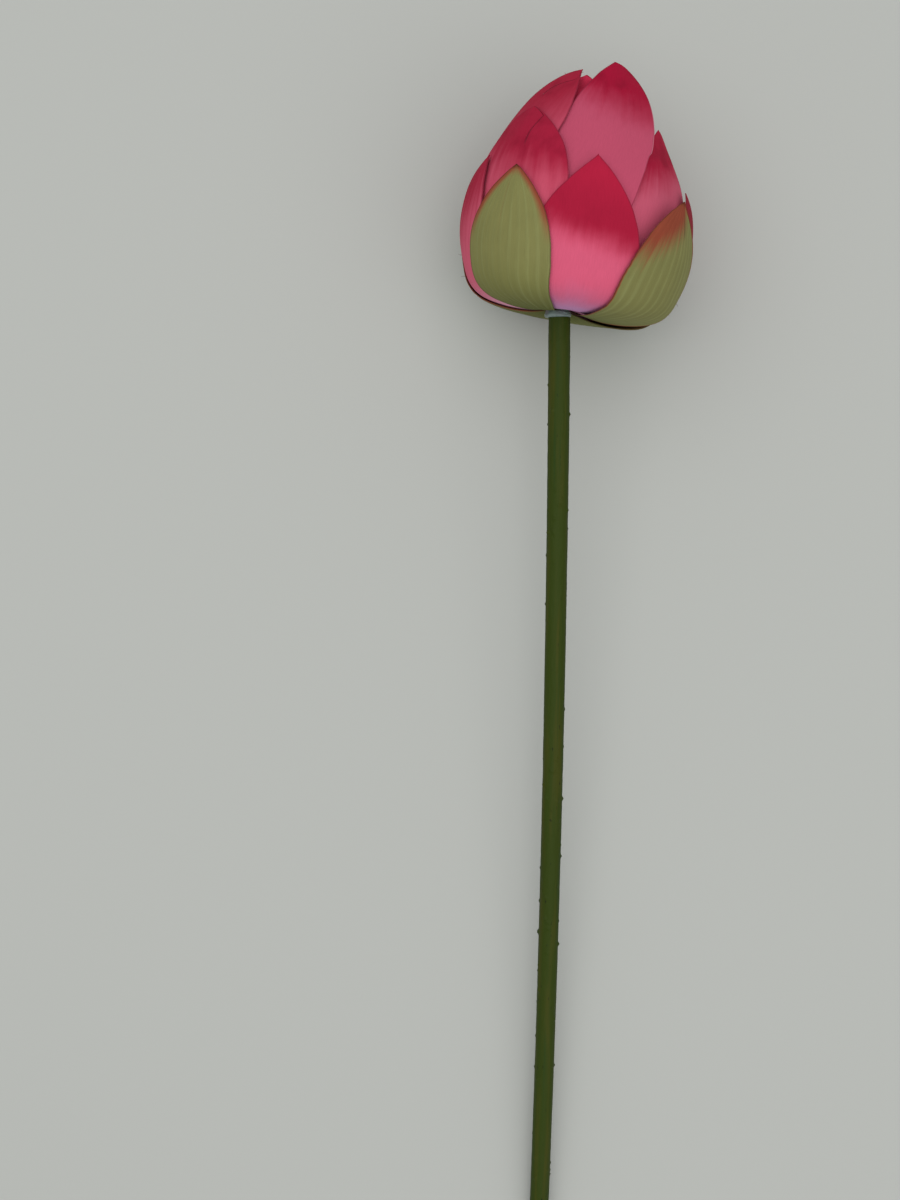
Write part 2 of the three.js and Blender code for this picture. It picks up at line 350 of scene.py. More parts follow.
# %% The table of petals
# layer: how many layers out. spread: the most that a side may reach round the bud, in degrees.
# az: where the middle of the foot is, in degrees, with 0 on top and 90 at +X. lean: how far the tip
# turns from there. reach: how far along the guide the tip is. left and right: an outline, as in
# half_width. lift: how far the tip stands off. lift_left and lift_right: how far the sides do.
# late: the larger, the nearer the tip they do. ragged: how frayed the edges are. nick: where a torn
# step is. crease: where it starts and ends across the petal, and then along it.
PETALS = {
    "sepal_front_left": dict(
        layer=6, spread=36, az=-47, lean=9, reach=65,
        left=(17.5, 0.55, 1.9, 1), right=(22.6, 0.55, 2.1, 0.92),
    ),
    "sepal_front_right": dict(
        layer=6, spread=39, az=56, lean=-2, reach=63,
        left=(26, 0.45, 2.15, 0.85), right=(23.5, 0.4, 2.2, 1.2),
        lift=1, ragged=1.1, crease=(0.6, 0.5, 0.8, 1),
    ),
    "sepal_back_right": dict(
        layer=6, spread=38, az=150, lean=-4, reach=62,
        left=(27, 0.44, 2, 0.9), right=(24, 0.46, 2, 0.8),
        lift_left=0.8, late=1, ragged=0.5,
    ),
    "sepal_back_left": dict(
        layer=6, spread=39, az=-136, lean=4, reach=63,
        left=(28.5, 0.46, 2, 0.8), right=(26, 0.46, 2, 0.9), ragged=0.8,
    ),
    "outer_petal_front": dict(
        layer=5, spread=38, az=4, lean=-1.5, reach=72,
        left=(24, 0.52, 1.75, 1.1), right=(19.5, 0.52, 2, 1),
    ),
    "outer_petal_left": dict(
        layer=5.2, spread=38, az=-92, lean=28, reach=69.7,
        left=(24, 0.55, 2, 1.1), right=(17, 0.6, 2, 1.1),
        lift=-0.3, lift_left=-0.6, late=6, ragged=0.5,
    ),
    "outer_petal_right": dict(
        layer=5.1, spread=38, az=90, lean=-21, reach=68.7,
        left=(22, 0.55, 2.1, 1), right=(24, 0.55, 2.1, 0.9), lift=-0.6, ragged=0.5,
    ),
    "outer_petal_back": dict(
        layer=5, spread=38, az=-172, lean=0, reach=72,
        left=(24, 0.55, 2, 0.9), right=(24, 0.55, 2, 0.9),
    ),
    "middle_petal_front_left": dict(
        layer=4, spread=40, az=-44, lean=-5, reach=91,
        left=(16, 0.6, 4.5, 0.8), right=(28, 0.6, 1.9, 0.85),
        lift=0.5, crease=(0.6, 0.93, 0.79, 0.95),
    ),
    "middle_petal_back_left": dict(
        layer=4, spread=40, az=-130, lean=6, reach=88,
        left=(25, 0.58, 2, 0.8), right=(22, 0.58, 2, 0.8),
    ),
    "middle_petal_back_right": dict(
        layer=4, spread=40, az=138, lean=-4, reach=88,
        left=(25, 0.58, 2, 0.8), right=(25, 0.58, 2, 0.8),
    ),
    "middle_petal_front_right": dict(
        layer=0.9, spread=40, az=38, lean=24, reach=92,
        left=(16.6, 0.6, 1.85, 0.8), right=(15.8, 0.6, 2.3, 0.55),
        lift=2.8, lift_right=1.9, late=2.6,
    ),
    "inner_petal_front": dict(
        layer=2.1, spread=46, az=-8, lean=38, reach=118,
        left=(19.5, 0.63, 2.3, 0.95), right=(17.5, 0.68, 1.5, 0.45),
        lift=3, lift_right=3, late=4, nick=0.664,
    ),
    "inner_petal_left": dict(
        layer=3, spread=46, az=-68, lean=44, reach=113,
        left=(18.2, 0.66, 2.5, 0.8), right=(17, 0.5, 1.95, 1.2),
        lift_left=0.95, late=4, crease=(0.2, 0.84, 0.85, 0.96),
    ),
    "inner_petal_middle": dict(
        layer=0, spread=46, az=-26, lean=4, reach=114.7,
        left=(20, 0.66, 2, 0.9), right=(20, 0.66, 2, 0.9),
    ),
    "inner_petal_right": dict(
        layer=0, spread=60, az=108, lean=0, reach=112,
        left=(30, 0.66, 3, 0.9), right=(30, 0.66, 3, 0.9),
    ),
    "inner_petal_back": dict(
        layer=0, spread=56, az=-128, lean=0, reach=113,
        left=(30, 0.66, 3, 0.9), right=(30, 0.66, 3, 0.9),
    ),
}
print("petals:", len(PETALS))

# %% [markdown]
# ### From a flat petal to its place
#
# The outline could be drawn as a curve and filled, but then the faces would run in all directions
# and bend badly. Here each point is worked out from two shares instead: across, from -1 at the left
# edge to 1 at the right one, and the way from the foot to the tip. So the grid's rows and columns
# follow the threads of the cloth. The real edges were cut roughly, which slow and fine noise
# gives, and stiffened cloth is never quite smooth, so it ripples a little.

# %% One place on a petal
CLOTH = 0.36  # its thickness
FOOT_SHARE = 0.13  # how wide the foot is, as a share of the widest place
TIP_HALF_WIDTH = 0.12
TIP_LIFT_POWER = 12  # how near the tip it starts to stand off
SIDE_LIFT_LATE = 1.5
SPREAD_POWER = 8  # how suddenly the spread holds a wide petal in
EDGES_APART = 4  # in the noise, so that the two edges differ
WAVE_LENGTH, WAVE_DEPTH = 6, 0.3
FRAY_LENGTH, FRAY_DEPTH = 0.9, 0.22
FRAY_FRACTAL = (1, 2, 3)  # exponent, how much finer each octave is, and how many there are
RAGGED = 0.3
CALM_WIDTH = 6  # a narrower place is cut more cleanly
CUT_POWER = 8  # keeps the rough cut to the edge
NICK_DEPTH = 0.9
NICK_STEP, NICK_REACH = 0.012, 0.5  # shares of the petal's length
RIPPLE_LENGTH, RIPPLE_HEIGHT = 22, 0.3
RIPPLES_ACROSS = 1.4
VEINS = 11
VEIN_RISE = 3  # the veins have their full height a third of the way up


def half_width(outline, way):
    """outline holds the widest half-width, where it is, how full it stays and how it ends."""
    widest, where, fullness, sharpness = outline
    if way < where:
        return widest * (FOOT_SHARE + (1 - FOOT_SHARE) * math.sin(math.pi / 2 * way / where))
    past = min((way - where) / (1 - where), 1)
    return max(widest * (1 - past**fullness) ** sharpness, TIP_HALF_WIDTH)


def rough_edge(shape, side, arc, seed):
    """How far the cut edge strays from its outline: slow waves and fine fraying."""
    slow = noise.noise(Vector((arc / WAVE_LENGTH, EDGES_APART * side, seed)))
    place = Vector((arc / FRAY_LENGTH, EDGES_APART * side, seed))
    fine = noise.fractal(place, *FRAY_FRACTAL)
    return WAVE_DEPTH * slow + FRAY_DEPTH * shape.get("ragged", RAGGED) * fine


def nick_depth(shape, side, way):
    """A torn step in the right edge, which runs out toward the foot."""
    below = shape.get("nick", 0) - way
    if side < 0 or not 0 < below < NICK_REACH:
        return 0
    return NICK_DEPTH * (1 - below / NICK_REACH) * min(1, below / NICK_STEP)


def stand_off(shape, across, way):
    """How far the petal stands off its layer, at the tip and at the side."""
    side = shape.get("lift_left", 0) if across < 0 else shape.get("lift_right", 0)
    belly = math.sin(math.pi * way ** shape.get("late", SIDE_LIFT_LATE))
    return shape.get("lift", 0) * way**TIP_LIFT_POWER + side * across**2 * belly


def petal_point(shape, across, way, seed, ribs):
    """A place in the bud, and the flat place on the cut cloth, both in millimetres."""
    arc = PETAL_START + way * (shape["reach"] - PETAL_START)
    layer = shape["layer"] * LAYER
    radius = guide_point(arc, 0)[0] + layer
    side = -1 if across < 0 else 1
    width = half_width(shape["left"] if side < 0 else shape["right"], way)
    most = math.radians(shape["spread"]) * radius
    held = (width**-SPREAD_POWER + most**-SPREAD_POWER) ** (-1 / SPREAD_POWER)
    cut = rough_edge(shape, side, arc, seed) - nick_depth(shape, side, way)
    cut *= min(1, held / CALM_WIDTH)
    flat = across * held + side * across**CUT_POWER * cut
    outward = layer + CLOTH / 2 + stand_off(shape, across, way)
    ripple = noise.noise(Vector((across * RIPPLES_ACROSS, arc / RIPPLE_LENGTH, seed)))
    outward += RIPPLE_HEIGHT * ripple
    outward += ribs * math.cos(math.pi * (across + 1) * VEINS) * min(1, VEIN_RISE * way)
    azimuth = math.radians(shape["az"] + shape["lean"] * way**2) + flat / radius
    return bud_point(arc, azimuth, outward), (flat, arc)


highest, _ = petal_point(PETALS["inner_petal_front"], 0, 1, 0, 0)
print("highest tip, mm:", [round(c, 1) for c in highest])

# %% [markdown]
# ### Cutting and bending the cloth
#
# Each petal starts as a flat grid, is bent, and gets its thickness by solidify. A Solidify modifier
# could do that as well, but it would also thicken the loose threads, so the operator does it before
# they are added. Two UV maps go with the cloth. One gives the share of the way across and along
# the petal, which the dye follows, and one gives the place on the flat cloth in millimetres, which
# the weave follows. Where the fabric was cut by a blunt die, single threads hang out of the edge.

# %% One petal
ROWS = 96
ROW_BUNCHING = 1.25  # puts the rows closer together toward the tip
SHARP = math.radians(50)
THREAD_SIDES = 5
THREAD_RADIUS = 0.07
THREAD_TAPER = 0.6  # the share of its thickness that it loses
THREAD_CURL = 0.35  # as a share of its length
THREAD_FROM = 0.9  # the share of the way to the edge that it points away from
THREAD_LEAN = 0.5  # how much it points out of the bud as well as out of the edge
THREAD_SET_IN = 0.15  # so that it starts inside the cloth
THREAD_PLACES = (-0.1, 0.15, 0.35, 0.55, 0.75, 0.9, 1)
THREADS = {  # side of the petal, share of the way along it, and length
    "sepal_front_right": [(1, 0.47, 2.6), (1, 0.52, 1.8), (1, 0.38, 1.6), (-1, 0.83, 1.2)],
    "sepal_back_left": [
        (1, 0.62, 5.5), (1, 0.5, 2.4), (1, 0.28, 1.6), (1, 0.22, 2.2), (1, 0.12, 1.5),
    ],
    "sepal_front_left": [(1, 0.05, 2.4), (1, 0.1, 1.3)],
    "outer_petal_left": [(-1, 0.6, 2.2), (-1, 0.5, 1.5)],
    "inner_petal_left": [(1, 0.985, 0.8), (-1, 0.97, 0.9)],
}


def add_thread(bm, uv_layer, uv, start, way_out, length):
    """A thin tapered thread that leaves the edge at start and curls."""
    curl = way_out.cross(Vector((random.uniform(-1, 1), random.uniform(-1, 1), 1))).normalized()
    turn = way_out.to_track_quat("Z", "Y").to_matrix().to_4x4()
    ring_edges = None
    faces = []
    for number, share in enumerate(THREAD_PLACES):
        point = start + way_out * length * share + curl * length * THREAD_CURL * share**2
        radius = THREAD_RADIUS * (1 - THREAD_TAPER * number / len(THREAD_PLACES)) * MM
        ring = bmesh.ops.create_circle(
            bm, segments=THREAD_SIDES, radius=radius, matrix=Matrix.Translation(point) @ turn
        )["verts"]
        edges = list({edge for vert in ring for edge in vert.link_edges})
        if ring_edges:
            faces += bmesh.ops.bridge_loops(bm, edges=ring_edges + edges)["faces"]
        ring_edges = edges
    ends = [edge for edge in bm.edges if edge.is_boundary and edge.link_faces[0] in faces]
    faces += bmesh.ops.holes_fill(bm, edges=ends, sides=THREAD_SIDES)["faces"]
    bmesh.ops.recalc_face_normals(bm, faces=faces)
    for face in faces:
        for loop in face.loops:
            loop[uv_layer].uv = uv


def petal_piece(name, shape, seed, columns, ribs):
    """A grid bent into the bud, thickened, and with its loose threads."""
    bm = bmesh.new()
    petal_uv = bm.loops.layers.uv.new("petal")
    bmesh.ops.create_grid(bm, x_segments=columns, y_segments=ROWS, size=1, calc_uvs=True)
    cloth_uv = bm.loops.layers.uv.new("cloth")
    for vert in bm.verts:
        across, along = vert.co.x, (vert.co.y + 1) / 2
        way = 1 - (1 - along) ** ROW_BUNCHING
        place, flat = petal_point(shape, across, way, seed, ribs)
        vert.co = bud_place @ place
        for loop in vert.link_loops:
            loop[petal_uv].uv = ((across + 1) / 2, way)
            loop[cloth_uv].uv = flat
    bm.faces.ensure_lookup_table()
    probe = bm.faces[len(bm.faces) // 2]
    if probe.normal.dot(probe.calc_center_median() - bud_middle) < 0:
        bmesh.ops.reverse_faces(bm, faces=bm.faces)
    bmesh.ops.solidify(bm, geom=bm.faces[:], thickness=CLOTH * MM)
    for edge in bm.edges:
        if len(edge.link_faces) == 2 and edge.calc_face_angle() > SHARP:
            edge.smooth = False
    for across, way, length in THREADS.get(name, []):
        start = bud_place @ petal_point(shape, across, way, seed, 0)[0]
        inner = bud_place @ petal_point(shape, across * THREAD_FROM, way, seed, 0)[0]
        outward = (start - bud_middle).normalized()
        way_out = ((start - inner).normalized() + THREAD_LEAN * outward).normalized()
        uv = ((across + 1) / 2, way)
        start -= THREAD_SET_IN * MM * outward
        add_thread(bm, petal_uv, uv, start, way_out, length * MM)
    for face in bm.faces:
        face.smooth = True
    return new_object(f"{name}_cloth", bm)


def cut_size(shape, seed):
    """Width, length and area of the cloth laid flat, in metres, its length along its middle."""
    widths, middles = [], []
    for row in range(ROWS + 1):
        (_, left), (middle, _), (_, right) = [
            petal_point(shape, across, row / ROWS, seed, 0) for across in (-1, 0, 1)
        ]
        widths.append(right[0] - left[0])
        middles.append(middle)
    steps = [(end - start).length for start, end in zip(middles, middles[1:])]
    strips = [(low + high) / 2 * step for low, high, step in zip(widths, widths[1:], steps)]
    return max(widths) * MM, sum(steps) * MM, sum(strips) * MM**2


print("threads:", sum(len(threads) for threads in THREADS.values()))

# %% [markdown]
# ### Dyed cloth
#
# The petals are dipped tip first, so the crimson is deepest at the tip and runs out along the
# threads in streaks, through pink to a pale lilac foot. The dye line and its slant differ from
# petal to petal. Vertex colours could hold the fade, but not streaks as fine as threads, so noise
# that is stretched along the cloth moves the dye line up and down. The cut edges are darker, partly
# from dye and partly as painted shade of the thin gap under each edge. One petal has a painted
# highlight, a light band along its right edge where it catches the light, and on another the
# crimson has pooled a little above the line. A crease gets a dark line of painted shade.

# %% Petal cloth
PETAL_DYES = {
    "outer_petal_front": dict(
        start=0.53, full=0.7, slant=0.08, streaks=0.05, foot=0.4, pink=(214, 90, 119),
        crimson=(178, 27, 59), lilac=(196, 140, 184), blotches=0.1, pool=0.3,
    ),
    "outer_petal_left": dict(
        start=0.42, full=0.85, slant=-0.3, streaks=0.4, foot=0.42, pink=(208, 92, 116),
        crimson=(164, 30, 58), lilac=(222, 158, 180),
    ),
    "outer_petal_right": dict(start=0.3, full=0.6, foot=0.2, crimson=(142, 28, 46)),
    "middle_petal_front_left": dict(
        start=0.62, full=0.82, slant=0.06, streaks=0.16,
        pink=(200, 80, 104), crimson=(164, 26, 56),
    ),
    "middle_petal_front_right": dict(
        start=0.68, full=0.86, slant=-0.1, streaks=0.1,
        pink=(200, 88, 112), crimson=(170, 22, 56),
    ),
    "inner_petal_front": dict(
        start=0.73, full=0.91, slant=0.07, streaks=0.05,
        pink=(189, 77, 103), crimson=(164, 12, 50), painted_highlight_edge=True,
    ),
    "inner_petal_left": dict(
        start=0.62, full=0.9, slant=-0.1, pink=(194, 76, 100), crimson=(162, 30, 56),
    ),
    "inner_petal_middle": dict(start=0.5, full=0.8, crimson=(206, 44, 78)),
}
DEEP_CRIMSON = (128, 8, 38)
# Partly dye and partly painted shade of the thin gap under a cut edge.
EDGE_DYE_AND_SHADE_CRIMSON = (125, 28, 50)
# The colour of a painted highlight.
PAINTED_HIGHLIGHT_PINK = (222, 140, 158)
# Painted shade along a crease.
CREASE_SHADE_CRIMSON = (104, 12, 36)
CREASE_BEND = 4


def edge_distance(tree, across, flat_across):
    """Millimetres to the nearer side edge, from the flat distance to the middle and its share."""
    share = calculate(tree, "ABSOLUTE", calculate(tree, "MULTIPLY_ADD", across, 2, -1))
    flat = calculate(tree, "ABSOLUTE", flat_across)
    whole = calculate(tree, "DIVIDE", flat, calculate(tree, "MAXIMUM", share, 0.01))
    return calculate(tree, "SUBTRACT", whole, flat)


def crease_mask(tree, across, along, crease):
    """1 on the line of a crease and 0 beside it."""
    foot, tip, start, end = crease
    share = add_node(
        tree, "ShaderNodeMapRange", {"Value": along, "From Min": start, "From Max": end}
    ).outputs["Result"]
    bend = calculate(tree, "POWER", share, CREASE_BEND)
    line = calculate(tree, "MULTIPLY_ADD", bend, tip - foot, foot)
    beside = calculate(tree, "ABSOLUTE", calculate(tree, "SUBTRACT", across, line))
    mask = soft_step(tree, beside, 0.02, 0.0)
    return product(tree, mask, soft_step(tree, share, 0.0, 0.3))


def dye_height(tree, across, along, streak, slant, streaks):
    """How far up the petal a place counts as, on a dye line that slants and runs in streaks."""
    slanted = calculate(tree, "MULTIPLY_ADD", across, slant, -slant / 2)
    height = calculate(tree, "ADD", slanted, along)
    return calculate(tree, "MULTIPLY_ADD", streak, streaks, height)


def petal_cloth(
    name, seed, crease=None, start=0.6, full=0.8, slant=0.0, streaks=0.08, foot=0.3,
    pink=(186, 76, 98), crimson=(156, 18, 50), lilac=(186, 124, 154), painted_highlight_edge=False,
    blotches=0.5, pool=0.0,
):
    """Dyed from start to full up the petal, with a foot of another colour below foot."""
    material, tree, shader = new_material(name, 0.8, Specular_IOR_Level=0.12)
    across, along = uv_parts(tree, "petal")
    flat = uv_parts(tree, "cloth")
    streak = cloud(tree, stretched(tree, across, along, 14, 1.3, seed), detail=3)
    thread = cloud(tree, stretched(tree, *flat, 3.2, 0.25, seed), detail=2)
    patch = cloud(tree, stretched(tree, *flat, 0.11, 0.09, seed), detail=3)

    dye = dye_height(tree, across, along, streak, slant, streaks)
    dye = calculate(tree, "MULTIPLY_ADD", patch, 0.08, dye)
    dye = calculate(tree, "SUBTRACT", dye, streaks / 2 + 0.04)
    tint = mix_colours(tree, soft_step(tree, dye, start, full), colour(*pink), colour(*crimson))
    deep = product(
        tree, soft_step(tree, patch, 0.45, 0.7), soft_step(tree, dye, full - 0.08, full), blotches
    )
    if pool:
        pooled = product(
            tree,
            soft_step(tree, dye, start + 0.05, full),
            pool,
            soft_step(tree, dye, full + 0.24, full + 0.04),
        )
        deep = calculate(tree, "ADD", deep, pooled)
    tint = mix_colours(tree, deep, tint, colour(*DEEP_CRIMSON))
    low = calculate(tree, "MULTIPLY_ADD", patch, 0.1, along)
    tint = mix_colours(tree, soft_step(tree, low, foot + 0.08, foot - 0.15), tint, colour(*lilac))

    tint = shade(tree, tint, calculate(tree, "MULTIPLY_ADD", thread, 0.2, 0.9))
    edge = edge_distance(tree, across, flat[0])
    edge = calculate(tree, "MULTIPLY_ADD", streak, 0.5, edge)
    # Darker crimson along the cut edges: partly dye, partly painted shade of the thin gap under each
    # edge.
    tint = stain(tree, tint, soft_step(tree, edge, 0.9, 0.4), 0.6, EDGE_DYE_AND_SHADE_CRIMSON)
    # A painted highlight: a lighter pink band along the upper right edge, where that edge catches
    # the light.
    if painted_highlight_edge:
        highlight_mask = product(
            tree,
            soft_step(tree, edge, 0.7, 0.4),
            soft_step(tree, across, 0.5, 0.6),
            soft_step(tree, along, 0.62, 0.68),
            soft_step(tree, along, 0.9, 0.8),
        )
        tint = stain(tree, tint, highlight_mask, 0.45, PAINTED_HIGHLIGHT_PINK)
    height = product(tree, thread, 0.25)
    if crease:
        line = crease_mask(tree, across, along, crease)
        # A dark line of painted shade along the crease; the bump below also dents the surface there.
        tint = stain(tree, tint, line, 0.5, CREASE_SHADE_CRIMSON)
        height = calculate(tree, "SUBTRACT", height, line)
    tree.links.new(tint, shader.inputs["Base Color"])
    raise_surface(tree, shader, height, 0.3 * MM)
    return material


print("dyes:", len(PETAL_DYES))

# %% [markdown]
# ### Ribbed sepals
#
# The four sepals are pressed in a ribbed mould, which leaves a fan of raised, slightly paler
# veins. Bump alone would show them, but it leaves the cloth itself smooth, so the veins are raised
# in the mesh, and the finish colours and sharpens them. The sepals are dyed olive, and their tips
# and cut edges were brushed with red-brown. Toward the foot the olive is darker, partly in the dye
# and partly as painted shade of the underside. The very tip is dark brown, and so are the cut
# edges, partly from dye and partly as painted shade of the gap under them. A crease gets a dark
# line of painted shade. One has no table entry, because nothing sets it apart from the usual
# values.

# %% Sepal cloth
SEPAL_DYES = {
    "sepal_front_left": dict(
        green=(127, 125, 74), start=0.93, full=1.0, foot=0.14, margin=4.2, reaches=0.6,
    ),
    "sepal_front_right": dict(
        green=(124, 122, 72), start=0.75, full=0.95, slant=-0.4, streaks=0.22,
        margin=1.3, reaches=0.0,
    ),
    "sepal_back_left": dict(green=(108, 106, 56), margin=4, reaches=0.0),
}
# Partly dye and partly painted shade of the sepal's underside.
FOOT_DYE_AND_SHADE_GREEN = (94, 98, 44)
VEIN_GREEN = (148, 152, 98)
RED_BROWN = (144, 56, 41)
# Dye at the tip, and dye with painted shade along the cut edges.
EDGE_DYE_AND_SHADE_BROWN = (66, 44, 26)
# Painted shade along a crease.
CREASE_SHADE_BROWN = (60, 34, 22)


def sepal_cloth(
    name, seed, crease=None, green=(114, 114, 64), margin=1.2, reaches=0.62,
    start=0.9, full=1.05, slant=0.0, streaks=0.06, foot=0.0,
):
    """Brushed brown from start to full, and over a margin of the edges above reaches."""
    material, tree, shader = new_material(name, 0.75, Specular_IOR_Level=0.15)
    across, along = uv_parts(tree, "petal")
    flat = uv_parts(tree, "cloth")
    streak = cloud(tree, stretched(tree, across, along, 26, 1.2, seed), detail=4)
    thread = cloud(tree, stretched(tree, *flat, 3.0, 0.2, seed), detail=2)
    patch = cloud(tree, stretched(tree, *flat, 0.12, 0.1, seed), detail=3)

    wander = cloud(tree, stretched(tree, across, along, 3, 2.5, seed + 5), detail=1)
    rib = calculate(tree, "MULTIPLY_ADD", wander, 0.5, product(tree, across, VEINS))
    rib = calculate(tree, "PINGPONG", rib, 0.5)
    vein = product(tree, soft_step(tree, rib, 0.32, 0.02), soft_step(tree, streak, 0.34, 0.66))
    # Darker green towards the foot: partly dye, partly painted shade of the underside.
    low = soft_step(tree, along, foot + 0.45, foot)
    tint = mix_colours(tree, low, colour(*green), colour(*FOOT_DYE_AND_SHADE_GREEN))
    tint = stain(tree, tint, vein, 0.34, VEIN_GREEN)

    brush = dye_height(tree, across, along, streak, slant, streaks)
    brown = soft_step(tree, brush, start + streaks / 2, full + streaks / 2)
    edge = edge_distance(tree, across, flat[0])
    edge = calculate(tree, "MULTIPLY_ADD", streak, 0.6, edge)
    above = soft_step(tree, along, reaches, reaches + 0.2)
    side = product(tree, soft_step(tree, edge, margin, 0.9), above)
    tint = stain(tree, tint, calculate(tree, "MAXIMUM", brown, side), 0.9, RED_BROWN)
    # Dark brown at the very tip, which is dye, and along the cut edges, partly dye and partly
    # painted shade of the gap under each edge.
    tip = soft_step(tree, along, 0.97, 0.995)
    dark = calculate(tree, "MAXIMUM", soft_step(tree, edge, 0.95, 0.5), tip)
    tint = stain(tree, tint, dark, 0.55, EDGE_DYE_AND_SHADE_BROWN)

    light = calculate(tree, "MULTIPLY_ADD", thread, 0.2, 0.9)
    light = product(tree, light, calculate(tree, "MULTIPLY_ADD", patch, 0.2, 0.9))
    tint = shade(tree, tint, light)
    height = calculate(tree, "MULTIPLY_ADD", thread, 0.3, product(tree, vein, 0.25))
    if crease:
        line = crease_mask(tree, across, along, crease)
        # A dark line of painted shade along the crease; the bump below also dents the surface there.
        tint = stain(tree, tint, line, 0.6, CREASE_SHADE_BROWN)
        height = calculate(tree, "SUBTRACT", height, line)
    tree.links.new(tint, shader.inputs["Base Color"])
    raise_surface(tree, shader, height, 0.25 * MM)
    return material


print("sepal dyes:", len(SEPAL_DYES))

# %% [markdown]
# ### All of the cloth
#
# Now the table is worked through. Each piece of cloth takes the place of its rigid stand-in, and
# the size of its cloth laid flat is worked out and printed.

# %% Make every petal
SEPAL_COLUMNS, RIB_HEIGHT = 66, 0.05
PETAL_COLUMNS = 44
SEED_STEP = 7.3

random.seed(4)
for number, (name, shape) in enumerate(PETALS.items()):
    if name.startswith("sepal"):
        slot, columns, ribs = "sepal", SEPAL_COLUMNS, RIB_HEIGHT
        cloth, dyes = sepal_cloth, SEPAL_DYES
    else:
        slot, columns, ribs = "petal", PETAL_COLUMNS, 0
        cloth, dyes = petal_cloth, PETAL_DYES
    finish = cloth(f"{name}_dye", number, shape.get("crease"), **dyes.get(name, {}))
    seed = number * SEED_STEP
    piece = petal_piece(name, shape, seed, columns, ribs)
    piece.data.materials.append(finish)
    width, length, area = cut_size(shape, seed)
    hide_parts(name)
    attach(piece, "root")
    share = area / width / length
    print(f"{name}: {width / MM:.1f} x {length / MM:.1f} mm, {share:.2f} of that filled")

# %% [markdown]
# ## Foam core
#
# The petals are glued round an egg of foam, which is dyed crimson so that no white shows between
# them. Almost nothing of it is seen, so its rigid shape stays and only gets the fine grain of cut
# foam.

# %% Foam
foam, tree, shader = new_material("dyed_foam", 0.9, Specular_IOR_Level=0.15)
place = add_node(tree, "ShaderNodeTexCoord", {}).outputs["Object"]
grain = cloud(tree, place, scale=900, detail=2)
tint = mix_colours(tree, grain, colour(140, 24, 50), colour(176, 44, 72))
tree.links.new(tint, shader.inputs["Base Color"])
raise_surface(tree, shader, grain, 0.2 * MM)
bpy.data.objects["bud_core"].material_slots[0].material = foam
print("foam ready")

# %% [markdown]
# ## Stem
#
# The stem is a soft plastic sleeve over a wire. The sleeve copies a real lotus stalk, with its small
# prickles, dents and scars. A bevelled curve would bend as easily, but it has no prickles and no
# hole, and loose cones for prickles would show a seam at their feet. So sleeve and wire are both
# turned shapes: an outline of radius and height is set round the stem's own slightly bent line, and
# the sleeve's outside is raised where a prickle stands. A hole for the wire runs through the whole
# sleeve.

# %% The stem's line and its turned pieces
BORE_RADIUS = 1.6
WIRE_RADIUS = 1.2
WIRE_SHOWN = 1.5
WIRE_IN_CORE = 42
WELD = 0.001 * MM  # in metres


def stem_line(y):
    """A place on the stem's middle line. Past the stem's top it follows the bud's own line."""
    if y <= 0:
        return Vector((-STEM_BOW * (y / STEM_LENGTH) ** 2, y, 0))
    return Vector((y * math.sin(BUD_TURN), y * math.cos(BUD_TURN), 0))


def turned_piece(name, outline, steps, place_point):
    """A closed shape. outline lists (radius, height) once round its section."""
    last = len(outline) - 1
    bm = bmesh.new()
    bmesh.ops.create_grid(bm, x_segments=steps, y_segments=last, size=1, calc_uvs=True)
    uv_layer = bm.loops.layers.uv.verify()
    for vert in bm.verts:
        turn = math.pi * vert.co.x
        radius, height = outline[round((vert.co.y + 1) / 2 * last)]
        vert.co = place_point(radius, height, turn)
        for loop in vert.link_loops:
            loop[uv_layer].uv = (turn * STEM_TOP_RADIUS, height)
    bmesh.ops.remove_doubles(bm, verts=bm.verts, dist=WELD)
    bmesh.ops.dissolve_degenerate(bm, edges=bm.edges, dist=WELD)
    bmesh.ops.recalc_face_normals(bm, faces=bm.faces)
    for face in bm.faces:
        face.smooth = True
    for edge in bm.edges:
        if len(edge.link_faces) == 2 and edge.calc_face_angle() > SHARP:
            edge.smooth = False
    return new_object(name, bm)


def on_stem(radius, height, turn):
    middle = stem_line(height)
    return stem_place @ (middle + radius * Vector((math.sin(turn), 0, math.cos(turn))))


DENT_LENGTH, DENTS_ROUND, DENT_DEPTH = 10, 1.2, 0.12
PIT_LENGTH, PITS_ROUND, PIT_DEPTH = 2.2, 3.5, 0.1
PITS_APART = 5  # from the dents, in the noise
SWELL = 0.06  # makes up for what the dents and pits take away
PRICKLES = 90
PRICKLE_PLACES = (3, STEM_LENGTH - 4)  # down from the stem's top
PRICKLE_TURN = 2.2  # how far round from the top side they go
PRICKLE_TALL = (0.3, 0.75)
PRICKLE_FOOT = 0.5  # how much wider a prickle's foot reaches than it is tall
PRICKLE_REACH = 1.6  # past which no prickle's foot goes
PRICKLE_SHARPNESS = 1.5

random.seed(11)
prickles = [  # height, angle round the stem, and how tall
    (
        -random.uniform(*PRICKLE_PLACES),
        random.uniform(-PRICKLE_TURN, PRICKLE_TURN),
        random.uniform(*PRICKLE_TALL),
    )
    for _ in range(PRICKLES)
]
prickles.sort()
prickle_heights = [height for height, _, _ in prickles]


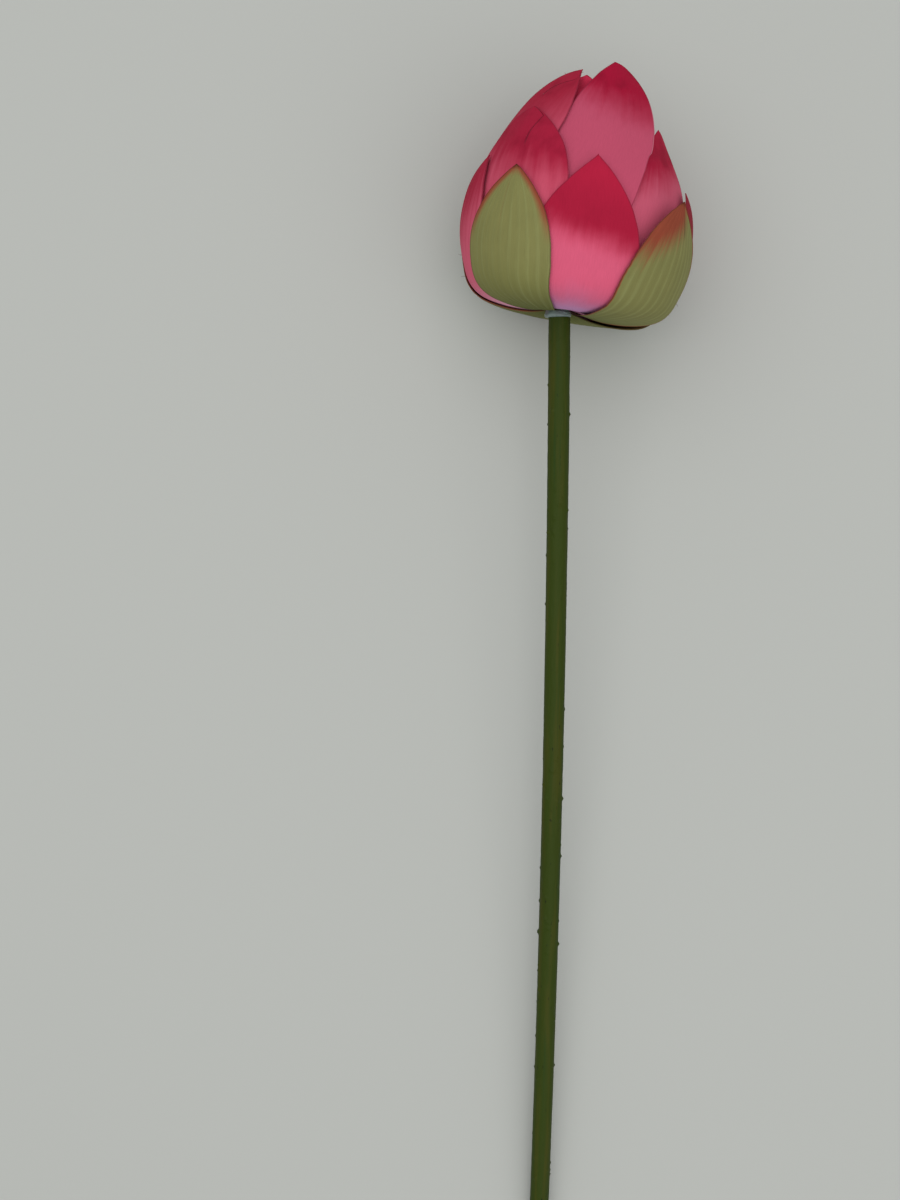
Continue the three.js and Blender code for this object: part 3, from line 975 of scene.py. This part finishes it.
def sleeve_point(radius, height, turn):
    """The smooth hole for the wire, or the outside with its dents, pits and prickles."""
    if radius == BORE_RADIUS:
        return on_stem(radius, height, turn)
    round_place = Vector((math.cos(turn), math.sin(turn), 0))
    dents = noise.noise(round_place * DENTS_ROUND + Vector((0, 0, height / DENT_LENGTH)))
    pits = noise.noise(round_place * PITS_ROUND + Vector((PITS_APART, 0, height / PIT_LENGTH)))
    radius += SWELL - DENT_DEPTH * max(dents, 0) - PIT_DEPTH * max(pits, 0)
    first = bisect.bisect_left(prickle_heights, height - PRICKLE_REACH)
    last = bisect.bisect_right(prickle_heights, height + PRICKLE_REACH)
    for place, facing, tall in prickles[first:last]:
        away = math.hypot(height - place, (turn - facing) * radius)
        radius += tall * max(0, 1 - away / (PRICKLE_FOOT + tall)) ** PRICKLE_SHARPNESS
    return on_stem(radius, height, turn)


SLEEVE_STEP = 0.45
SLEEVE_SIDES = 56
WIRE_SIDES = 24
WIRE_BEVEL = 0.15
WIRE_PLACES = (-330, -285, -240, -195, -150, -110, -70, -35, -15, -6, 0, 6, 15, 30)

sleeve_rows = round(STEM_LENGTH / SLEEVE_STEP)
outside = [
    (STEM_TOP_RADIUS + (STEM_END_RADIUS - STEM_TOP_RADIUS) * share, -STEM_LENGTH * share)
    for share in (row / sleeve_rows for row in range(sleeve_rows + 1))
]
bore = [(BORE_RADIUS, -STEM_LENGTH * share) for share in (1, 0.75, 0.5, 0.25, 0)]
sleeve_outline = outside + bore + [outside[0]]
sleeve = turned_piece("stem_sleeve_moulded", sleeve_outline, SLEEVE_SIDES, sleeve_point)

wire_end = -STEM_LENGTH - WIRE_SHOWN
wire_outline = [
    (0, wire_end),
    (WIRE_RADIUS - WIRE_BEVEL, wire_end),
    (WIRE_RADIUS, wire_end + WIRE_BEVEL),
    *((WIRE_RADIUS, place) for place in WIRE_PLACES),
    (WIRE_RADIUS, WIRE_IN_CORE),
    (0, WIRE_IN_CORE),
]
wire = turned_piece("stem_wire_cut", wire_outline, WIRE_SIDES, on_stem)
for piece, slot, node in ((sleeve, "stem", "stem_sleeve"), (wire, "wire", "stem_wire")):
    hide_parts(node)
    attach(piece, "root")
print("sleeve faces:", len(sleeve.data.polygons), "prickles:", len(prickles))

# %% [markdown]
# ### Green plastic and bare wire
#
# The sleeve is coloured in long bands of dark green and olive, with dark flecks where it is
# scarred. One noise texture could give all of it, but the bands are many times longer than the
# scars, so each has its own, stretched along the stem by its own amount. The cut wire is bare
# steel, which needs only a colour, a metallic shader and some roughness.

# %% Stem and wire finishes
stem_plastic, tree, shader = new_material("stem_plastic", 0.55, Specular_IOR_Level=0.12)
round_stem, along_stem = uv_parts(tree, sleeve.data.uv_layers[0].name)
band = cloud(tree, stretched(tree, round_stem, along_stem, 0.35, 0.02, 3), detail=3)
cool = cloud(tree, stretched(tree, round_stem, along_stem, 0.5, 0.012, 8), detail=2)
scar = cloud(tree, stretched(tree, round_stem, along_stem, 0.8, 0.22, 5), detail=4)
tint = mix_colours(tree, soft_step(tree, band, 0.45, 0.7), colour(48, 61, 8), colour(60, 64, 12))
tint = mix_colours(tree, soft_step(tree, cool, 0.55, 0.75), tint, colour(41, 60, 14))
tint = mix_colours(tree, soft_step(tree, scar, 0.66, 0.74), tint, colour(22, 28, 10))
tree.links.new(tint, shader.inputs["Base Color"])
raise_surface(tree, shader, scar, 0.25 * MM)
sleeve.data.materials.append(stem_plastic)

wire_steel, tree, shader = new_material("cut_wire", 0.4, Metallic=1.0)
shader.inputs["Base Color"].default_value = colour(150, 150, 146)
wire.data.materials.append(wire_steel)
print("stem and wire ready")

# %% [markdown]
# ## Hot glue
#
# A blob of half-clear, bluish hot glue fills the wedge between the stem's top and the petals'
# feet. It has run out over the left of the stem and set with a rounded, uneven edge. Metaballs
# would make rounder drops, but they can't lie flat against the stem, so it is another turned
# piece. Its underside lies flat on the stem's top, and its upper part follows the bud.

# %% Glue
GLUE_SPLIT = 1.5  # the height below which it belongs to the stem
GLUE_EDGE = 4  # the radius past which it bulges
GLUE_RUN_LEFT = 0.55  # how far it has run out at the left,
GLUE_SHORT_RIGHT = 0.75  # and how far it falls short at the right
GLUE_LUMPS_ROUND, GLUE_LUMP = 2, 0.25
GLUE_SIDES = 64
GLUE_OUTLINE = [
    (BORE_RADIUS, 0.08), (3, 0.08), (4.2, 0.08), (4.75, 0.2), (5.05, 0.5), (5.15, 0.9), (5.1, 1.3),
    (5, 1.9), (4.7, 2.25), (4, 2.5), (3.2, 2.6), (3.2, 6), (3.2, 9.6), (BORE_RADIUS, 9.6),
    (BORE_RADIUS, 0.08),
]


def glue_point(radius, height, turn):
    """The underside goes with the stem and the rest with the bud. The edge bulges to the left."""
    if radius > GLUE_EDGE:
        left = 0.5 - 0.5 * math.cos(turn - math.pi / 2)
        lump_place = (math.cos(turn) * GLUE_LUMPS_ROUND, math.sin(turn) * GLUE_LUMPS_ROUND, height)
        lump = noise.noise(Vector(lump_place))
        radius += GLUE_RUN_LEFT * left - GLUE_SHORT_RIGHT * (1 - left) + GLUE_LUMP * lump
    place = Vector((radius * math.sin(turn), height, radius * math.cos(turn)))
    return (stem_place if height < GLUE_SPLIT else bud_place) @ place


glue = turned_piece("glue_blob", GLUE_OUTLINE, GLUE_SIDES, glue_point)
hot_glue, tree, shader = new_material("hot_glue", 0.3, Specular_IOR_Level=0.4)
place = add_node(tree, "ShaderNodeTexCoord", {}).outputs["Object"]
swirl = cloud(tree, place, scale=500, detail=2)
tint = mix_colours(tree, swirl, colour(84, 98, 92), colour(134, 148, 144))
tree.links.new(tint, shader.inputs["Base Color"])
glue.data.materials.append(hot_glue)
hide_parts("glue_collar")
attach(glue, "root")
print("glue faces:", len(glue.data.polygons))
